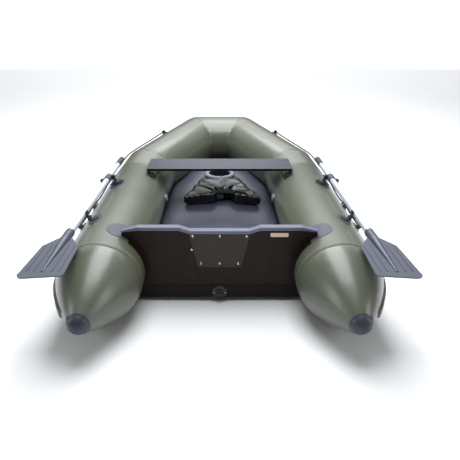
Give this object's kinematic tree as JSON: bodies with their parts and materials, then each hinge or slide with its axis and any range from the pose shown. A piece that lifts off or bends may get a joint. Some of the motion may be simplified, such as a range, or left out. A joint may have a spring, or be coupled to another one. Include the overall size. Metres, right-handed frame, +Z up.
{
  "type": "inflatable dinghy",
  "caption": "Small inflatable dinghy with a U-shaped tube hull, stern cones, a motor transom, an air floor, a bench seat, grab lines and oars stowed in pivoting oarlocks.",
  "frame": {"origin": "on the ground under the middle of the boat, at the bottom centre of its box", "axes": "+X starboard, +Y to the bow, +Z up"},
  "size_m": [1.3812, 2.2536, 0.4559],
  "materials": {
    "hull_pvc": "gloss",
    "seam_tape": "satin",
    "black_rubber": "matte",
    "strake_rubber": "satin",
    "bulkhead_fabric": "satin",
    "bottom_pvc": "satin",
    "floor_pvc": "gloss",
    "transom_ply": "satin",
    "pad_plastic": "satin",
    "trim_plastic": "satin",
    "label_foil": "gloss",
    "stainless": "polished",
    "patch_pvc": "satin",
    "seat_grey": "satin",
    "clip_nylon": "satin",
    "bag_nylon": "gloss",
    "oar_alloy": "satin",
    "oarlock_plastic": "satin",
    "grip_rubber": "matte",
    "blade_plastic": "satin",
    "valve_plastic": "satin",
    "rope_black": "matte"
  },
  "bodies": {
    "hull": {"bottom_fabric": "bottom_pvc", "bottom_hem": "bottom_pvc", "bow_handle": "black_rubber", "bow_strake": "strake_rubber", "bow_tube": "hull_pvc", "bulkheads": "bulkhead_fabric", "carry_bag": "bag_nylon", "cheek_tube_left": "hull_pvc", "cheek_tube_right": "hull_pvc", "cone_strakes": "strake_rubber", "corner_patches": "patch_pvc", "drain_body": "black_rubber", "floor_mat": "floor_pvc", "grab_line_left": "rope_black", "grab_line_right": "rope_black", "label_plate": "label_foil", "motor_pad_inner": "pad_plastic", "motor_pad_outer": "pad_plastic", "oar_clips": "black_rubber", "oar_patches": "patch_pvc", "oarlock_bases": "black_rubber", "pad_nuts": "stainless", "plug_tether": "rope_black", "rope_holders": "black_rubber", "seam_tapes": "seam_tape", "seat_rails": "black_rubber", "shoulder_tube_left": "hull_pvc", "shoulder_tube_right": "hull_pvc", "side_strake_left": "strake_rubber", "side_strake_right": "strake_rubber", "side_tube_left": "hull_pvc", "side_tube_right": "hull_pvc", "stern_caps": "black_rubber", "stern_cone_left": "hull_pvc", "stern_cone_right": "hull_pvc", "tow_eye": "black_rubber", "transom_board": "transom_ply", "transom_flanges": "black_rubber", "transom_screws": "stainless", "transom_trim": "trim_plastic", "valve_bodies": "valve_plastic"},
    "seat": {"seat_board": "seat_grey", "seat_clips": "clip_nylon"},
    "drain_plug": {"drain_plug": "black_rubber"},
    "tow_ring": {"tow_ring": "stainless"},
    "swivel_left": {"oar_swivel_left": "oarlock_plastic"},
    "knob_left": {"oar_knob_left": "oarlock_plastic"},
    "oar_left": {"oar_shaft_left": "oar_alloy", "oar_collar_left": "grip_rubber", "oar_grip_left": "grip_rubber", "oar_blade_left": "blade_plastic"},
    "valve_cap_left": {"valve_cap_left": "valve_plastic"},
    "swivel_right": {"oar_swivel_right": "oarlock_plastic"},
    "knob_right": {"oar_knob_right": "oarlock_plastic"},
    "oar_right": {"oar_shaft_right": "oar_alloy", "oar_collar_right": "grip_rubber", "oar_grip_right": "grip_rubber", "oar_blade_right": "blade_plastic"},
    "valve_cap_right": {"valve_cap_right": "valve_plastic"}
  },
  "joints": [
    {"name": "seat_slide", "type": "slide", "parent": "hull", "child": "seat", "axis": [0, -1, 0], "range_m": [0, 0.05]},
    {"name": "drain_plug_pull", "type": "slide", "parent": "hull", "child": "drain_plug", "axis": [0, -1, 0], "range_m": [0, 0.03]},
    {"name": "tow_ring_swing", "type": "hinge", "parent": "hull", "child": "tow_ring", "pos_m": [0, 1.09941, 0.18323], "axis": [1, 0, 0], "range_deg": [0, 110]},
    {"name": "oar_swing_right", "type": "hinge", "parent": "hull", "child": "swivel_right", "pos_m": [0.54692, -0.10672, 0.32871], "axis": [0.3584, 0, 0.9336], "range_deg": [0, 95]},
    {"name": "oar_lift_right", "type": "hinge", "parent": "swivel_right", "child": "oar_right", "pos_m": [0.59242, -0.10602, 0.35516], "axis": [-0.9334, -0.0209, 0.3583], "range_deg": [0, 3.5]},
    {"name": "knob_turn_right", "type": "hinge", "parent": "swivel_right", "child": "knob_right", "pos_m": [0.59242, -0.10602, 0.35516], "axis": [0.9334, 0.0209, -0.3583], "range_deg": [0, 360]},
    {"name": "valve_cap_pull_right", "type": "slide", "parent": "hull", "child": "valve_cap_right", "axis": [-0.9994, 0, 0.0349], "range_m": [0, 0.016]},
    {"name": "oar_swing_left", "type": "hinge", "parent": "hull", "child": "swivel_left", "pos_m": [-0.54692, -0.10672, 0.32871], "axis": [0.3584, 0, -0.9336], "range_deg": [0, 95]},
    {"name": "oar_lift_left", "type": "hinge", "parent": "swivel_left", "child": "oar_left", "pos_m": [-0.59242, -0.10602, 0.35516], "axis": [-0.9334, 0.0209, -0.3583], "range_deg": [0, 3.5]},
    {"name": "knob_turn_left", "type": "hinge", "parent": "swivel_left", "child": "knob_left", "pos_m": [-0.59242, -0.10602, 0.35516], "axis": [0.9334, -0.0209, 0.3583], "range_deg": [0, 360]},
    {"name": "valve_cap_pull_left", "type": "slide", "parent": "hull", "child": "valve_cap_left", "axis": [0.9994, 0, 0.0349], "range_m": [0, 0.016]}
  ]
}
